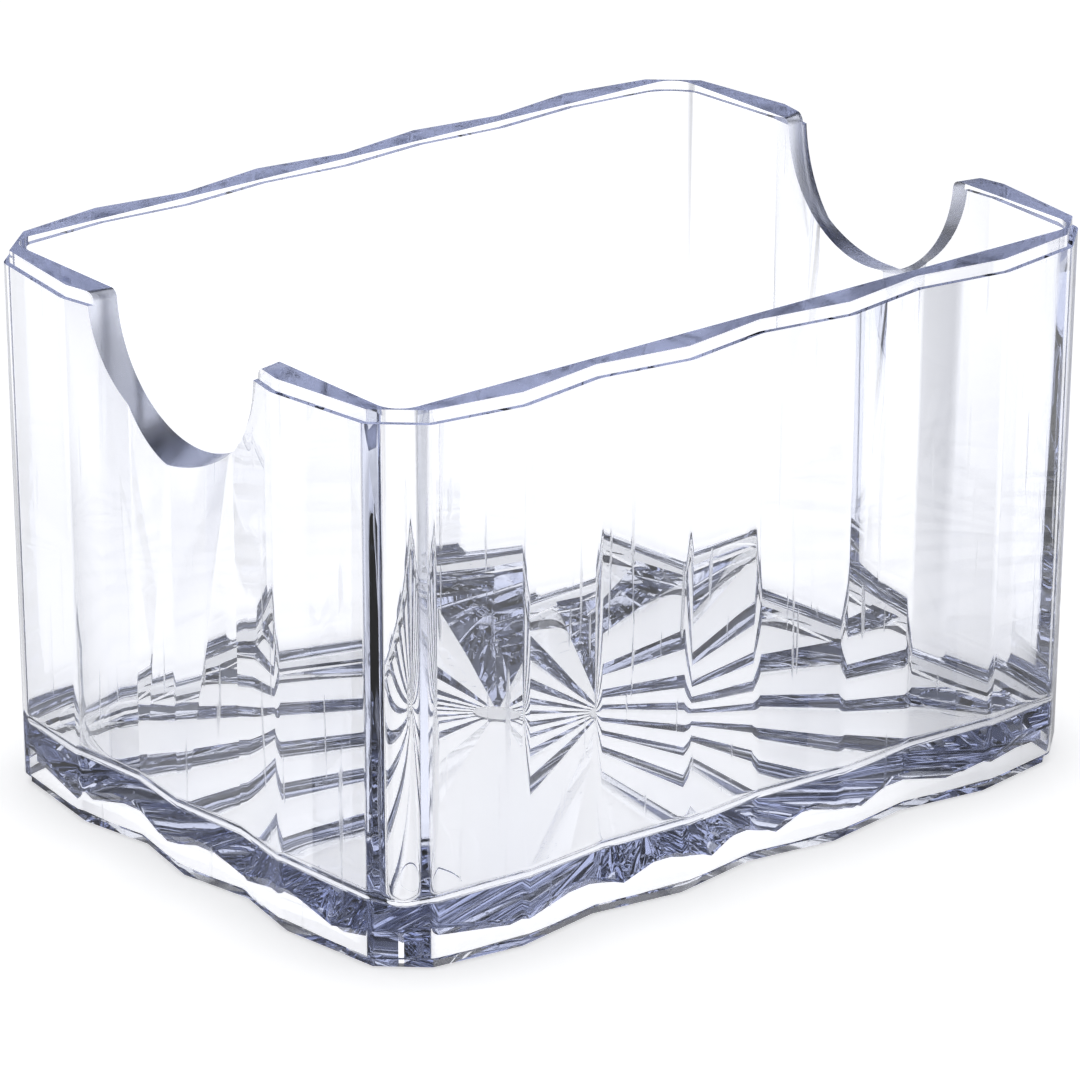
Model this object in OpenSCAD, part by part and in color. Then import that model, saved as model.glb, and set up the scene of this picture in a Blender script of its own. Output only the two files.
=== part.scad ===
// Sugar packet holder: one clear moulded tub with bulged facet walls, a lipped
// finger notch in each end and a thick base, cut from below with radial V grooves.
// The origin is in the middle of the footprint, on the surface that the holder
// stands on. +X runs along the long sides and +Z points up.

/* [Body] */
// Length across the end bulges, at the ledge under the rim
body_l = 114.3; // [90:0.1:150]
// Width across the side bulges, at the ledge under the rim
body_w = 85.2; // [76:0.1:110]
// Overall height, rim included
body_h = 69.6; // [50:0.1:90]
// How far the end walls lean in from the ledge down to their lower edge
lean = 0.8; // [0.2:0.05:1.5]
// Thinnest wall, in the valleys between the bulges
wall = 2.6; // [1.6:0.1:4]
// Radius of the upright corners inside
inner_r = 3.3; // [3.1:0.1:10]
// Height of the floor inside above the standing surface
floor_z = 7.1; // [6:0.1:14]
// Radius where the floor meets the walls
floor_r = 2.2; // [0.3:0.1:3]
// Radius of the four round moulding marks on the floor inside
mark_r = 3.9; // [2:0.1:4.5]
// Depth of the moulding marks
mark_deep = 0.2; // [0.1:0.05:0.4]
// Distance of a mark's centre from the end wall
mark_l = 9.3; // [8:0.1:14]
// Distance of a mark's centre from the side wall
mark_w = 6.3; // [6:0.1:12]

/* [Bulges] */
// How far a bulge stands out from the valleys beside it
bulge = 1.95; // [0.5:0.05:3]
// Number of bulges on each long side
side_bulges = 4; // [2:1:6]
// Number of bulges on each end
end_bulges = 3; // [1:1:3]
// Width of an inner facet on an end, the two outermost being wider
end_pitch = 10.35; // [6:0.05:12]
// Length that each corner flat takes off a long side
corner_l = 5.75; // [4:0.05:6.5]
// Width that each corner flat takes off an end
corner_w = 5.1; // [4:0.05:6.5]

/* [Rim and foot] */
// Height of the rim band above the ledge
rim_h = 1.5; // [0.5:0.1:3]
// Width of the ledge, by which the rim band is set back
rim_step = 0.75; // [0.2:0.05:1.2]
// Height of the foot under the walls' lower edge
foot_h = 1.3; // [0.5:0.05:2.5]
// Set-back of the foot under the walls
foot_step = 0.8; // [0.2:0.05:1.2]

/* [Finger notches] */
// Radius of a notch at the outer face, drawn from the top of the rim
notch_r = 16.6; // [10:0.1:22]
// Radius of a notch at the inner face
notch_in_r = 15.6; // [9:0.1:21]
// Rounding of the two lips where a notch meets the rim
lip_r = 1.1; // [0.4:0.1:2]

/* [Ray-cut base] */
// Number of rays
rays = 20; // [12:1:36]
// Share of a ray's width that its blunt crest takes
crest_share = 0.2; // [0.05:0.05:0.5]
// Height of the recess's roof in the middle, where the rays meet
apex_z = 3.9; // [3:0.1:4.5]
// Height that the rays' crests fall to in the corners of the recess
crest_z = 2.1; // [1:0.1:2.9]
// Height that the ridges between the rays fall to in the corners
ridge_z = 0.2; // [0.1:0.1:0.9]
// Thickness of the base's skirt round the recess, at the valleys
skirt = 4; // [3.6:0.1:6]
// Thickness of the skirt at the corner flats
corner_skirt = 2.4; // [2:0.1:4]
// Width of the narrow moat that parts the rays from the skirt
moat_w = 1.2; // [0.8:0.1:2.5]
// Height of the moat's roof
moat_z = 4; // [2:0.1:4.5]
// Radius of the round hub that the rays start from
hub_r = 2; // [1:0.1:4]
// How far the hub's flat underside stands below the point where the rays meet
hub_drop = 0.5; // [0.3:0.05:1.5]

/* [Hidden] */
// Overrun of every cut and overlap of every joined band
over = 1;
// Facets round a full circle, and steps along an arc
round_fn = 48;
lip_steps = 8;
notch_steps = 56;
half_l = body_l / 2;
half_w = body_w / 2;
ledge_z = body_h - rim_h;
run_half_l = half_l - bulge - corner_l;
run_half_w = half_w - bulge - corner_w;
inner_half_l = half_l - bulge - wall;
inner_half_w = half_w - bulge - wall;
recess_half_l = half_l - lean - bulge - skirt;
recess_half_w = half_w - lean - bulge - skirt;
recess_r = norm([recess_half_l, recess_half_w]);
hub_z = apex_z - hub_drop;

// Size of the walls at a height, as a share of their size at the ledge
function lean_share(z) = 1 - lean / half_l * (ledge_z - z) / (ledge_z - foot_h);

// Plan of the walls: facets between valleys and crowns along two sides, turned
// half round for the other two, counter-clockwise from the -X end of the -Y side
function valley_depth(i) = i % 2 == 0 ? bulge : 0;
function end_y(i) = i == 0 ? -run_half_w
    : i == 2 * end_bulges ? run_half_w
    : (i - end_bulges) * end_pitch;
side = [
    for (i = [0 : 2 * side_bulges])
        [(i / side_bulges - 1) * run_half_l, valley_depth(i) - half_w]
];
end = [for (i = [0 : 2 * end_bulges]) [half_l - valley_depth(i), end_y(i)]];
plan = concat(side, end, -side, -end);

// The plan with every facet moved inwards by one step
function inward(a, b) = [a.y - b.y, b.x - a.x] / norm(b - a);
function set_back(points, step) = [
    for (i = [0 : len(points) - 1])
        let (
            before = points[(i + len(points) - 1) % len(points)],
            after = points[(i + 1) % len(points)],
            n1 = inward(before, points[i]),
            n2 = inward(points[i], after)
        )
        points[i] + step * (n1 + n2) / (1 + n1 * n2)
];

// Walls, from the foot to the ledge, growing upwards with the lean
module walls() {
    base = lean_share(foot_h);
    translate([0, 0, foot_h])
        linear_extrude(height = ledge_z - foot_h, scale = 1 / base)
            polygon(plan * base);
}

module rim_band() {
    translate([0, 0, ledge_z - over])
        linear_extrude(height = rim_h + over)
            polygon(set_back(plan, rim_step));
}

module foot() {
    linear_extrude(height = foot_h + over)
        polygon(set_back(plan * lean_share(foot_h), foot_step));
}

// Inside of the tub: leaning walls, round upright corners, rounded floor edge
module at_inner_corners(z) {
    for (sx = [-1, 1], sy = [-1, 1])
        translate([
            sx * (inner_half_l * lean_share(z) - inner_r),
            sy * (inner_half_w * lean_share(z) - inner_r),
            z
        ]) children();
}

module compartment() {
    hull() {
        at_inner_corners(floor_z + floor_r)
            rotate_extrude($fn = round_fn) intersection() {
                translate([inner_r - floor_r, 0]) circle(floor_r, $fn = round_fn);
                translate([0, -floor_r]) square([inner_r, 2 * floor_r]);
            }
        at_inner_corners(body_h + over)
            cylinder(h = over, r = inner_r, $fn = round_fn);
    }
}

// Finger notch in the +X end: half a circle below the rim's top that flares
// outwards, with two rounded lips that run into it smoothly
function arc(centre, r, from, to, steps) = [
    for (i = [0 : steps])
        let (angle = from + (to - from) * i / steps)
        centre + r * [cos(angle), sin(angle)]
];

module notch_profile(r) {
    lip_x = sqrt(r * r + 2 * r * lip_r);
    meet = asin(lip_r / (r + lip_r));
    polygon(concat(
        [[lip_x, over], [-lip_x, over]],
        arc([-lip_x, -lip_r], lip_r, 90, meet, lip_steps),
        arc([0, 0], r, 180 + meet, 360 - meet, notch_steps),
        arc([lip_x, -lip_r], lip_r, 180 - meet, 90, lip_steps)
    ));
}

module notch() {
    depth = half_l - inner_half_l;
    flare = (notch_r - notch_in_r) / depth;
    in_r = notch_in_r - over * flare;
    out_r = notch_r + over * flare;
    translate([inner_half_l - over, 0, body_h])
        rotate([90, 0, 90])
            linear_extrude(height = depth + 2 * over, scale = out_r / in_r)
                notch_profile(in_r);
}

// Star of rays round the centre: each ray is a V groove with a blunt crest, and a
// sharp ridge parts it from the next. Crests and ridges fall outwards from the middle
function at_angle(r, angle, z) = [r * cos(angle), r * sin(angle), z];

module ray_star(r) {
    pitch = 360 / rays;
    blunt = pitch / 2 * crest_share;
    crest = apex_z - (apex_z - crest_z) * r / recess_r;
    ridge = apex_z - (apex_z - ridge_z) * r / recess_r;
    ring = [
        for (i = [0 : rays - 1])
            each [
                at_angle(r, i * pitch - blunt, crest),
                at_angle(r, i * pitch + blunt, crest),
                at_angle(r, (i + 0.5) * pitch, ridge)
            ]
    ];
    count = len(ring);
    under = [for (p = ring) [p.x, p.y, -over]];
    polyhedron(
        points = concat(ring, under, [[0, 0, apex_z]]),
        faces = concat(
            [for (i = [0 : count - 1]) [2 * count, (i + 1) % count, i]],
            [for (i = [0 : count - 1]) [i, (i + 1) % count, count + (i + 1) % count]],
            [for (i = [0 : count - 1]) [i, count + (i + 1) % count, count + i]],
            [[for (i = [0 : count - 1]) count + i]]
        )
    );
}

module recess_plan() {
    intersection() {
        square(2 * [recess_half_l, recess_half_w], center = true);
        polygon(set_back(plan * lean_share(foot_h), corner_skirt));
    }
}

module moat() {
    translate([0, 0, -over]) linear_extrude(height = moat_z + over) difference() {
        recess_plan();
        offset(delta = -moat_w) recess_plan();
    }
}

module base_recess() {
    difference() {
        union() {
            intersection() {
                ray_star(norm([half_l, half_w]));
                translate([0, 0, -over]) linear_extrude(height = floor_z) recess_plan();
            }
            moat();
        }
        translate([0, 0, hub_z]) cylinder(h = floor_z, r = hub_r, $fn = round_fn);
    }
}

// Shallow round marks that the mould leaves on the floor inside
module marks() {
    share = lean_share(floor_z);
    for (sx = [-1, 1], sy = [-1, 1])
        translate([
            sx * (inner_half_l * share - mark_l),
            sy * (inner_half_w * share - mark_w),
            floor_z - mark_deep
        ]) cylinder(h = mark_deep + over, r = mark_r, $fn = round_fn);
}

module holder_body() {
    color([0.93, 0.94, 0.97, 0.45]) difference() {
        union() {
            walls();
            rim_band();
            foot();
        }
        compartment();
        notch();
        mirror([1, 0, 0]) notch();
        marks();
        base_recess();
    }
}

holder_body();
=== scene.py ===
# %% [markdown]
# # A clear plastic tub for sugar packets
# The tub is one clear moulding, so almost everything that shows in it is light that was bent
# or reflected inside it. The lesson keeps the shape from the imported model, rounds the upright
# edges as a mould does, gives the plastic its finish, and lights it like a product shot.

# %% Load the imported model
import math

import bmesh
import bpy
from mathutils import Matrix, Vector


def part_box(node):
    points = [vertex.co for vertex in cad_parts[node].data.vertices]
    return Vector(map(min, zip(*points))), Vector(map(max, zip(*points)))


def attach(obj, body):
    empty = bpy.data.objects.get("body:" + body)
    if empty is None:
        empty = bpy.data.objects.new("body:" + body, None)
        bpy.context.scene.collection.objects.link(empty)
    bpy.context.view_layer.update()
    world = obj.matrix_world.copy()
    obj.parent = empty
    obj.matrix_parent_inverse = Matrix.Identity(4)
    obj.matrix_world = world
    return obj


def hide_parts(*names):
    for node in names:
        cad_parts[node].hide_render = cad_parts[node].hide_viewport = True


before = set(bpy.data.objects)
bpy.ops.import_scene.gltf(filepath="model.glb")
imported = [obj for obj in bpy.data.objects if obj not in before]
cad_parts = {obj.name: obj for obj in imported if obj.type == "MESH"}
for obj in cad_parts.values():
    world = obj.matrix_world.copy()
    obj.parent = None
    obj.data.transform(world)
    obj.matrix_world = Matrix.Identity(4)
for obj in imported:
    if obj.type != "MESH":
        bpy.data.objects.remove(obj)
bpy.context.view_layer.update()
MM = 0.001
tub_low, tub_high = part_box("holder_body")
print("nodes:", sorted(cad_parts), "size in mm:", [round(v / MM, 1) for v in tub_high - tub_low])

# %% [markdown]
# ## The camera
# The photograph looks at one corner from a little above, from far away, so the edges hardly
# converge. A long lens at a good distance gives that flat look, and a turned matrix holds the
# camera still where a helper might roll it.

# %% Camera at the photograph's angle
CAMERA_AT = Vector((-0.48742, -0.60073, 0.33331))
CAMERA_RIGHT = Vector((0.77755, -0.62881, 0.00240))
CAMERA_UP = Vector((0.22804, 0.28554, 0.93084))
LENS_MM = 224.42
SENSOR_MM = 36.0


def add_camera():
    data = bpy.data.cameras.new("photo_camera")
    data.lens, data.sensor_width = LENS_MM, SENSOR_MM
    camera = bpy.data.objects.new("photo_camera", data)
    back = CAMERA_RIGHT.cross(CAMERA_UP)
    turn = Matrix((CAMERA_RIGHT, CAMERA_UP, back)).transposed()
    camera.matrix_world = Matrix.Translation(CAMERA_AT) @ turn.to_4x4()
    bpy.context.scene.collection.objects.link(camera)
    bpy.context.scene.camera = camera
    return camera


camera = add_camera()
print("camera at, in mm:", [round(v / MM) for v in camera.matrix_world.translation])

# %% [markdown]
# ## The tub
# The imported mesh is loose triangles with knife-sharp corners. A moulded corner is never that
# sharp: steel tools leave a small radius, and in clear plastic that radius shows as a thin
# bright line along each upright edge. So a copy is merged and its flat faces are joined back
# into whole ones, which leaves clean edges to bevel.

# %% Copy, merge and clean the mesh
MERGE = 0.002 * MM
FLAT_ANGLE = math.radians(0.4)


def clean_copy(source, name):
    mesh = source.data.copy()
    mesh.name = name
    shape = bmesh.new()
    shape.from_mesh(mesh)
    bmesh.ops.remove_doubles(shape, verts=shape.verts, dist=MERGE)
    bmesh.ops.dissolve_limit(shape, angle_limit=FLAT_ANGLE, verts=shape.verts, edges=shape.edges)
    return mesh, shape


tub_mesh, shape = clean_copy(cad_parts["holder_body"], "clear_tub")
print("tub faces after cleaning:", len(shape.faces))

# %% [markdown]
# ## Round edges
# The upright edges between two facets get the soft rounding that a polished mould leaves. It
# is what bends the light streaks just beside each edge. The edges that end in a notch stay
# sharp, because a rounding would leave slivers where it runs into the notch's curve.

# %% Round the upright edges
UPRIGHT = math.cos(math.radians(8))
FACET_TURN = math.radians(12)
EDGE_ROUND = 0.6 * MM
EDGE_STEPS = 6
FACET_LENGTH = 40 * MM
NOTCH_CLEAR = 5 * MM


def is_upright(edge):
    along = edge.verts[1].co - edge.verts[0].co
    return along.length > FACET_LENGTH and abs(along.normalized().z) > UPRIGHT


def ends_in_notch(edge):
    return max(v.co.z for v in edge.verts) < tub_high.z - NOTCH_CLEAR


upright = [e for e in shape.edges if is_upright(e) and e.calc_face_angle(0) > FACET_TURN
           and not ends_in_notch(e)]
bmesh.ops.bevel(shape, geom=upright, offset=EDGE_ROUND, offset_type="OFFSET", affect="EDGES",
                segments=EDGE_STEPS, profile=0.5, material=-1, clamp_overlap=False)
print("upright edges rounded:", len(upright))

# %% [markdown]
# ## Zigzag under the rim of the star
# Where the rays run out at the skirt, their crests and ridges leave a zigzag line, and it
# shows through every facet of the base. Vertical cuts through the middle, one along each
# ridge and one along each side of a crest, split the roof of the moat, and then only the
# points on the ridges have to come down.

# %% Zigzag roof
MOAT_ROOF = 4.0 * MM
RAYS = 20
RAY_PITCH = 2 * math.pi / RAYS
CREST_HALF = math.radians(1.8)
RIDGE_DROP = 2.0 * MM
LEVEL_WITHIN = 0.01 * MM


def on_roof(face):
    return all(abs(v.co.z - MOAT_ROOF) < LEVEL_WITHIN for v in face.verts)


def beside_roof(part):
    return any(on_roof(face) for face in part.link_faces)


def cut_roof(shape, angle):
    faces = [f for f in shape.faces if on_roof(f)]
    edges = [e for e in shape.edges if beside_roof(e)]
    verts = [v for v in shape.verts if beside_roof(v)]
    normal = Vector((-math.sin(angle), math.cos(angle), 0.0))
    bmesh.ops.bisect_plane(shape, geom=faces + edges + verts, dist=MERGE,
                           plane_co=Vector((0.0, 0.0, MOAT_ROOF)), plane_no=normal)


def ridge_share(point):
    from_crest = abs((math.atan2(point.y, point.x) + RAY_PITCH / 2) % RAY_PITCH - RAY_PITCH / 2)
    return max(0.0, from_crest - CREST_HALF) / (RAY_PITCH / 2 - CREST_HALF)


for ray in range(RAYS // 2):
    crest = ray * RAY_PITCH
    for angle in (crest - CREST_HALF, crest + CREST_HALF, (ray + 0.5) * RAY_PITCH):
        cut_roof(shape, angle)
roof = [f for f in shape.faces if on_roof(f)]
roof_verts = [v for v in shape.verts if beside_roof(v)]
for vert in roof_verts:
    vert.co.z -= RIDGE_DROP * ridge_share(vert.co)
bmesh.ops.triangulate(shape, faces=roof)
print("roof faces:", len(roof), "points:", len(roof_verts))

# %% [markdown]
# ## Where the finish is dull
# The mould is polished on the facets, but the top of the rim and the flanks of the notches
# are a little dull, and so is the small round gate mark under the middle of the floor. A
# number stored on each face says which is which, and the material reads it.

# %% Mark the dull faces
RIM_TOP = tub_high.z - 0.05 * MM
NOTCH_REACH = 18.5 * MM
END_WALL = 50 * MM
FLANK_LEAN = 0.3
GATE_RADIUS = 2.05 * MM
GATE_HEIGHT = 3.4 * MM
GATE_WITHIN = 0.1 * MM
DULLNESS = {"gate": 1.0, "flank": 0.39, "rim": 0.16}
dull = shape.faces.layers.float.new("dull")


def is_flank(face):
    centre, normal = face.calc_center_median(), face.normal
    from_axis = math.hypot(centre.y, centre.z - tub_high.z)
    return abs(centre.x) > END_WALL and from_axis < NOTCH_REACH and abs(normal.x) < FLANK_LEAN


def is_gate(face):
    centre = face.calc_center_median()
    from_axis = math.hypot(centre.x, centre.y)
    return from_axis < GATE_RADIUS and abs(centre.z - GATE_HEIGHT) < GATE_WITHIN


def is_rim_top(face):
    return face.calc_center_median().z > RIM_TOP


shape.normal_update()
counts = dict.fromkeys(DULLNESS, 0)
for face in shape.faces:
    for kind, test in (("gate", is_gate), ("flank", is_flank), ("rim", is_rim_top)):
        if test(face):
            face[dull] = DULLNESS[kind]
            counts[kind] += 1
            break
print("dull faces:", counts)

# %% Finish the tub mesh
SMOOTH_UNDER = math.radians(22)


def finish_tub(shape, mesh):
    bmesh.ops.recalc_face_normals(shape, faces=shape.faces)
    for face in shape.faces:
        face.smooth = True
    for edge in shape.edges:
        edge.smooth = edge.calc_face_angle(math.pi) < SMOOTH_UNDER
    shape.to_mesh(mesh)
    shape.free()
    tub = bpy.data.objects.new("clear_tub", mesh)
    bpy.context.scene.collection.objects.link(tub)
    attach(tub, "root")
    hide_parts("holder_body")
    return tub


tub = finish_tub(shape, tub_mesh)
print("tub polygons:", len(tub.data.polygons))

# %% [markdown]
# ## Clear plastic
# Polystyrene bends light a little more than acrylic does and is faintly violet where it is
# thick. The colour belongs to the volume, so thin walls stay white and the light that is
# trapped in the base and the rim comes out violet-grey. The surface isn't quite perfect:
# it is very slightly wavy, as all moulded plastic is, and handling has left fine scratches.

# %% Clear plastic shader
PLASTIC_IOR = 1.57
TINT = (0.12, 0.22, 0.60, 1.0)
TINT_DENSITY = 12.5
DULL_ROUGHNESS = 0.70
SCRATCH_ROUGHNESS = 0.22


def add_node(tree, kind, **values):
    node = tree.nodes.new(kind)
    for name, value in values.items():
        setattr(node, name, value)
    return node


def clear_plastic():
    material = bpy.data.materials.new("clear_plastic")
    material.use_nodes = True
    tree = material.node_tree
    shader = tree.nodes["Principled BSDF"]
    shader.inputs["Base Color"].default_value = (1.0, 1.0, 1.0, 1.0)
    shader.inputs["IOR"].default_value = PLASTIC_IOR
    shader.inputs["Transmission Weight"].default_value = 1.0
    tint = add_node(tree, "ShaderNodeVolumeAbsorption")
    tint.inputs["Color"].default_value = TINT
    tint.inputs["Density"].default_value = TINT_DENSITY
    tree.links.new(tint.outputs["Volume"], tree.nodes["Material Output"].inputs["Volume"])
    return material, tree, shader


material, tree, shader = clear_plastic()
print("refraction:", PLASTIC_IOR)

# %% Waves and scratches
WAVE_SIZE = 9.0 * MM
WAVE_HEIGHT = 0.005 * MM
SCRATCH_DEPTH = 0.004 * MM
SCRATCHES = [
    ((20, 0, 35), (900, 900, 26)),
    ((-25, 15, -50), (1300, 1300, 40)),
    ((70, 40, 10), (1100, 1100, 60)),
]
STREAK_FROM, STREAK_FULL = 0.80, 0.84


def stretched_noise(tree, place, turn, scale):
    turned = add_node(tree, "ShaderNodeMapping")
    turned.inputs["Rotation"].default_value = [math.radians(a) for a in turn]
    turned.inputs["Scale"].default_value = scale
    noise = add_node(tree, "ShaderNodeTexNoise")
    noise.inputs["Scale"].default_value = 1.0
    noise.inputs["Detail"].default_value = 0.0
    streak = add_node(tree, "ShaderNodeMapRange", clamp=True)
    streak.inputs["From Min"].default_value = STREAK_FROM
    streak.inputs["From Max"].default_value = STREAK_FULL
    tree.links.new(place, turned.inputs["Vector"])
    tree.links.new(turned.outputs["Vector"], noise.inputs["Vector"])
    tree.links.new(noise.outputs["Fac"], streak.inputs["Value"])
    return streak.outputs["Result"]


def combine(tree, operation, one, two):
    node = add_node(tree, "ShaderNodeMath", operation=operation)
    for socket, value in zip(node.inputs, (one, two)):
        if isinstance(value, float):
            socket.default_value = value
        else:
            tree.links.new(value, socket)
    return node.outputs["Value"]


place = add_node(tree, "ShaderNodeTexCoord").outputs["Object"]
scratches = 0.0
for turn, scale in SCRATCHES:
    scratches = combine(tree, "MAXIMUM", scratches, stretched_noise(tree, place, turn, scale))
dull_mask = add_node(tree, "ShaderNodeAttribute", attribute_name="dull").outputs["Fac"]
roughness = combine(tree, "MAXIMUM", combine(tree, "MULTIPLY", dull_mask, DULL_ROUGHNESS),
                    combine(tree, "MULTIPLY", scratches, SCRATCH_ROUGHNESS))
tree.links.new(roughness, shader.inputs["Roughness"])
waves = add_node(tree, "ShaderNodeTexNoise")
waves.inputs["Scale"].default_value = 1.0 / WAVE_SIZE
waves.inputs["Detail"].default_value = 1.0
tree.links.new(place, waves.inputs["Vector"])
wave_bump = add_node(tree, "ShaderNodeBump")
wave_bump.inputs["Distance"].default_value = WAVE_HEIGHT
tree.links.new(waves.outputs["Fac"], wave_bump.inputs["Height"])
scratch_bump = add_node(tree, "ShaderNodeBump", invert=True)
scratch_bump.inputs["Distance"].default_value = SCRATCH_DEPTH
tree.links.new(scratches, scratch_bump.inputs["Height"])
tree.links.new(wave_bump.outputs["Normal"], scratch_bump.inputs["Normal"])
tree.links.new(scratch_bump.outputs["Normal"], shader.inputs["Normal"])
tub.data.materials.clear()
tub.data.materials.append(material)
print("material nodes:", len(tree.nodes))

# %% [markdown]
# ## The studio
# A clear object has hardly any look of its own: it shows what stands round it. Here a white
# floor lies under it, in a room that is dark near the horizon and grey above it. Light that
# goes straight through a wall stays white, and light that is trapped in the base, or leaves
# it upwards, comes out dark. The floor's glow is painted by kind of ray: brighter for light
# that came through the plastic than for the camera, and much darker in what the outer faces
# mirror. A painted shadow darkens its glow softly for the camera where the foot stands.

# %% White floor
FLOOR_RADIUS = 3.0
FLOOR_SIDES = 96
FLOOR_BELOW = 0.05 * MM
FLOOR_WHITE = (0.80, 0.80, 0.80, 1.0)
FLOOR_GLOW = 0.82
# the next two numbers set a painted contact shadow: how far and how deep an occlusion test darkens
# the floor's glow
CONTACT_REACH = 9.0 * MM
PAINTED_SHADOW_LEVEL = 0.60
# painted brighter floor for light that came through the plastic
FLOOR_THROUGH = 1.0
# painted darker reflection: the floor as the outer faces mirror it
FLOOR_PAINTED_MIRROR = 0.30


def add_floor():
    shape = bmesh.new()
    bmesh.ops.create_circle(shape, cap_ends=True, segments=FLOOR_SIDES, radius=FLOOR_RADIUS)
    mesh = bpy.data.meshes.new("studio_floor")
    shape.to_mesh(mesh)
    shape.free()
    floor = bpy.data.objects.new("studio_floor", mesh)
    floor.location.z = -FLOOR_BELOW
    bpy.context.scene.collection.objects.link(floor)
    material = bpy.data.materials.new("studio_floor")
    material.use_nodes = True
    shader = material.node_tree.nodes["Principled BSDF"]
    shader.inputs["Base Color"].default_value = FLOOR_WHITE
    shader.inputs["Roughness"].default_value = 1.0
    shader.inputs["Specular IOR Level"].default_value = 0.0
    shader.inputs["Emission Color"].default_value = (1.0, 1.0, 1.0, 1.0)
    mesh.materials.append(material)
    return material.node_tree, shader


floor_tree, floor_shader = add_floor()
print("floor radius in m:", FLOOR_RADIUS)

# %% [markdown]
# ## Painted grey beside the tub
# The facets bend light sideways, and the upright strips where they do so are grey: the white
# doesn't reach all round. That grey is painted shade here: the floor turns softly grey in two
# wedges that open away from the camera, one on each side. Only light that came through the
# plastic meets them, and the camera sees an even white floor.

# %% Two soft wedges of painted grey
ACROSS = Vector((0.777, -0.629, 0.0))
AHEAD = Vector((0.629, 0.777, 0.0))
WEDGE_MIDDLE = -0.010
WEDGE_START = 0.060
WEDGE_SLOPE = 0.26
WEDGE_SOFT = 0.035
WEDGE_WIDTH = 0.055
WEDGE_AHEAD = 0.24
PAINTED_WEDGE_GREY = 0.45


def along(tree, place, direction):
    node = add_node(tree, "ShaderNodeVectorMath", operation="DOT_PRODUCT")
    node.inputs[1].default_value = direction
    tree.links.new(place, node.inputs[0])
    return node.outputs["Value"]


def ramp(tree, value, start, stop, low, high):
    node = add_node(tree, "ShaderNodeMapRange", interpolation_type="SMOOTHSTEP")
    for name, number in (("From Min", start), ("From Max", stop), ("To Min", low), ("To Max", high)):
        node.inputs[name].default_value = number
    tree.links.new(value, node.inputs["Value"])
    return node.outputs["Result"]


place = add_node(floor_tree, "ShaderNodeTexCoord").outputs["Object"]
sideways = combine(floor_tree, "SUBTRACT", along(floor_tree, place, ACROSS), WEDGE_MIDDLE)
ahead = along(floor_tree, place, AHEAD)
edge = combine(floor_tree, "SUBTRACT", combine(floor_tree, "ABSOLUTE", sideways, 0.0),
               combine(floor_tree, "MULTIPLY", ahead, WEDGE_SLOPE))
inner = ramp(floor_tree, edge, WEDGE_START - WEDGE_SOFT, WEDGE_START + WEDGE_SOFT, 0.0, 1.0)
outer = ramp(floor_tree, edge, WEDGE_START + WEDGE_WIDTH, WEDGE_START + 2 * WEDGE_WIDTH, 1.0, 0.0)
near = ramp(floor_tree, ahead, -2 * WEDGE_SOFT, 0.0, 0.0, 1.0)
far = ramp(floor_tree, ahead, WEDGE_AHEAD, WEDGE_AHEAD + WEDGE_WIDTH, 1.0, 0.0)
painted_shade_wedge = combine(floor_tree, "MULTIPLY", combine(floor_tree, "MULTIPLY", inner, outer),
                combine(floor_tree, "MULTIPLY", near, far))
# painted shade: the floor seen through the plastic turns grey inside the wedges
through_with_painted_grey = ramp(floor_tree, painted_shade_wedge, 0.0, 1.0, FLOOR_THROUGH, PAINTED_WEDGE_GREY)
print("grey beside the tub:", PAINTED_WEDGE_GREY)

# %% Floor light by kind of ray
# Painted contact shadow: an occlusion test dims the floor's glow for the camera beside the foot.
contact = add_node(floor_tree, "ShaderNodeAmbientOcclusion")
contact.inputs["Distance"].default_value = CONTACT_REACH
painted_contact_shadow = add_node(floor_tree, "ShaderNodeMapRange")
painted_contact_shadow.inputs["To Min"].default_value = FLOOR_GLOW * PAINTED_SHADOW_LEVEL
painted_contact_shadow.inputs["To Max"].default_value = FLOOR_GLOW
floor_tree.links.new(contact.outputs["AO"], painted_contact_shadow.inputs["Value"])
rays = add_node(floor_tree, "ShaderNodeLightPath")
glow = painted_contact_shadow.outputs["Result"]
# Painted light by kind of ray: the outer faces mirror a dimmer floor, and light through the plastic
# meets a brighter one.
for ray, level in (("Is Glossy Ray", FLOOR_PAINTED_MIRROR), ("Is Transmission Ray", through_with_painted_grey)):
    choice = add_node(floor_tree, "ShaderNodeMapRange")
    if isinstance(level, float):
        choice.inputs["To Max"].default_value = level
    else:
        floor_tree.links.new(level, choice.inputs["To Max"])
    floor_tree.links.new(rays.outputs[ray], choice.inputs["Value"])
    floor_tree.links.new(glow, choice.inputs["To Min"])
    glow = choice.outputs["Result"]
floor_tree.links.new(glow, floor_shader.inputs["Emission Strength"])
print("floor nodes:", len(floor_tree.nodes))

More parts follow.
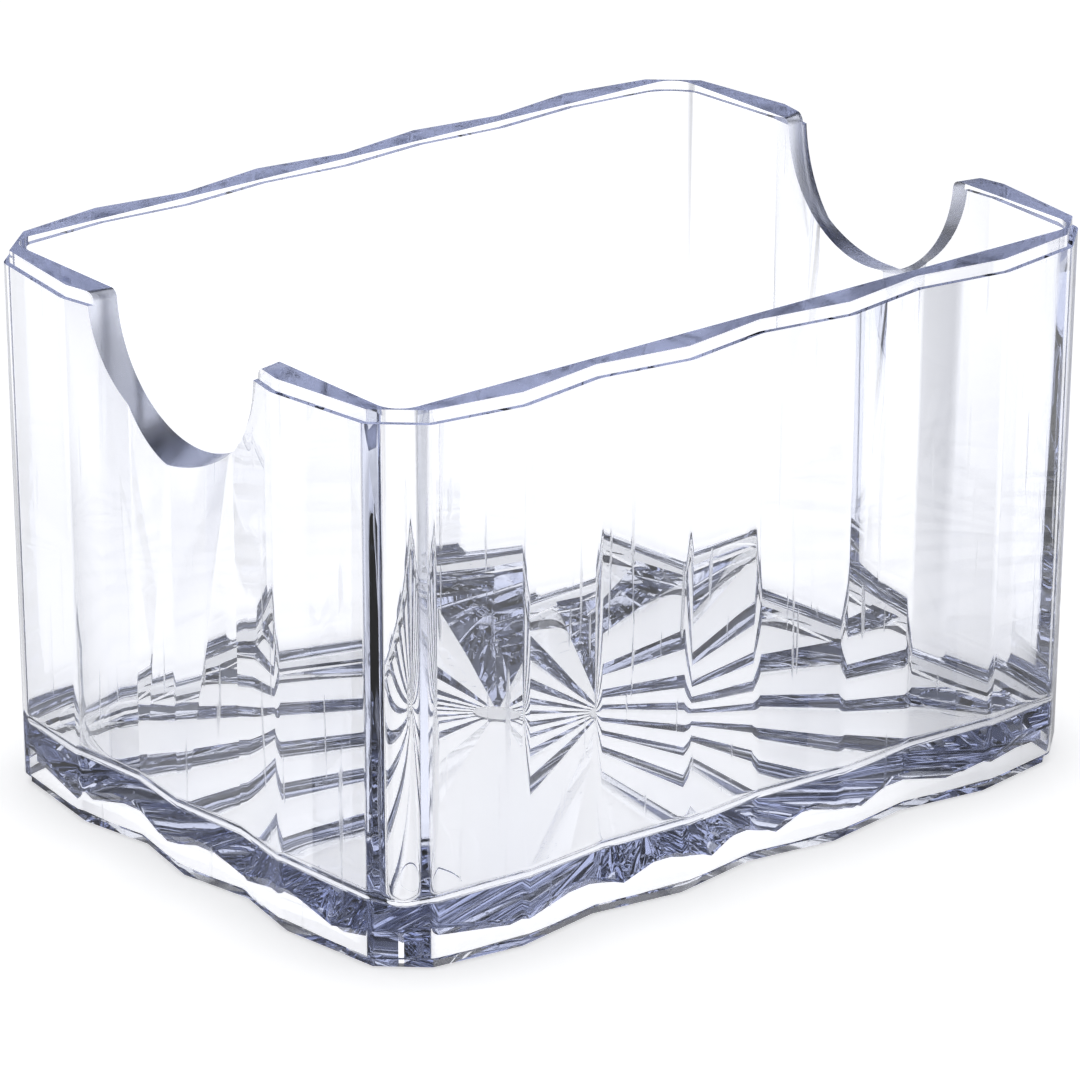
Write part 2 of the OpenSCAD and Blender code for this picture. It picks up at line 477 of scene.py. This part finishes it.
# %% [markdown]
# ## The room
# The room is only a row of greys by height, with a trace of blue, and a softbox overhead.
# It is nearly black up to the horizon and grey above it, as a studio is round a lit table.

# %% Grey room
ROOM_BANDS = [
    (0.0, (0.020, 0.021, 0.027, 1.0)),
    (0.45, (0.035, 0.037, 0.046, 1.0)),
    (0.75, (0.17, 0.18, 0.21, 1.0)),
    (1.0, (0.22, 0.23, 0.26, 1.0)),
]


def add_world():
    world = bpy.data.worlds.new("studio")
    bpy.context.scene.world = world
    world.use_nodes = True
    tree = world.node_tree
    place = tree.nodes.new("ShaderNodeTexCoord")
    height = tree.nodes.new("ShaderNodeSeparateXYZ")
    bands = tree.nodes.new("ShaderNodeValToRGB")
    stops = bands.color_ramp.elements
    for stop, (position, colour) in zip(stops, (ROOM_BANDS[0], ROOM_BANDS[-1])):
        stop.position, stop.color = position, colour
    for position, colour in ROOM_BANDS[1:-1]:
        stops.new(position).color = colour
    tree.links.new(place.outputs["Generated"], height.inputs["Vector"])
    tree.links.new(height.outputs["Z"], bands.inputs["Fac"])
    tree.links.new(bands.outputs["Color"], tree.nodes["Background"].inputs["Color"])


add_world()
print("room greys:", [colour[0] for _, colour in ROOM_BANDS])

# %% Softbox overhead
LAMP_SIZE = 0.9
LAMP_HEIGHT = 1.2
LAMP_POWER = 3.0


def add_lamp():
    data = bpy.data.lights.new("softbox", "AREA")
    data.size, data.energy = LAMP_SIZE, LAMP_POWER
    lamp = bpy.data.objects.new("softbox", data)
    lamp.location = (0.0, 0.0, LAMP_HEIGHT)
    bpy.context.scene.collection.objects.link(lamp)
    return lamp


print("lamp:", add_lamp().name)

# %% [markdown]
# ## Bounces and colour
# Light that is trapped in the base is reflected many times before it comes out, so the
# paths may be long: with few bounces the base would turn black. The Standard view shows
# each colour as it is written.

# %% Bounces and view
LONG_PATHS = 24
MIRROR_PATHS = 14

scene = bpy.context.scene
scene.view_settings.view_transform = "Standard"
scene.cycles.max_bounces = scene.cycles.transmission_bounces = LONG_PATHS
scene.cycles.glossy_bounces = MIRROR_PATHS
print("bounces:", scene.cycles.max_bounces)
